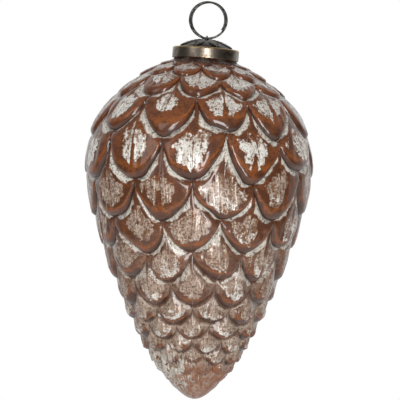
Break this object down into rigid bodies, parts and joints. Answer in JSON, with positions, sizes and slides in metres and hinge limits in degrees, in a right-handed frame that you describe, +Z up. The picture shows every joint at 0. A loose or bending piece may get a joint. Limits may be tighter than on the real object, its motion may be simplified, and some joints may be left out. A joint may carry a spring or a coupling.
{
  "type": "pine cone ornament",
  "caption": "Hanging ornament of blown glass moulded as a pine cone, tip down, with a pressed brass cap and a wire hanging ring.",
  "frame": {"origin": "where a hook carries the hanging ring: the highest point of the ring's inner face", "axes": "+Z up along the body's axis, with the tip down; +X to the right and -Y to the front of the picture; the ring lies in the XZ plane"},
  "size_m": [0.0877, 0.0877, 0.152],
  "materials": {
    "painted_glass": "glossy clear glass over distressed brown and silvery white paint",
    "antique_brass": "aged and darkened, satin",
    "dark_wire": "blackened, dull"
  },
  "bodies": {
    "ring": {"split_ring": "dark_wire"},
    "ornament": {"glass_body": "painted_glass", "cap": "antique_brass", "hanger_wire": "dark_wire"}
  },
  "joints": [
    {"name": "ring_swing", "type": "hinge", "parent": "ring", "child": "ornament", "pos_m": [-0.0004, 0, -0.01339], "axis": [0.9983, 0, -0.0576], "range_deg": [-90, 50]}
  ]
}
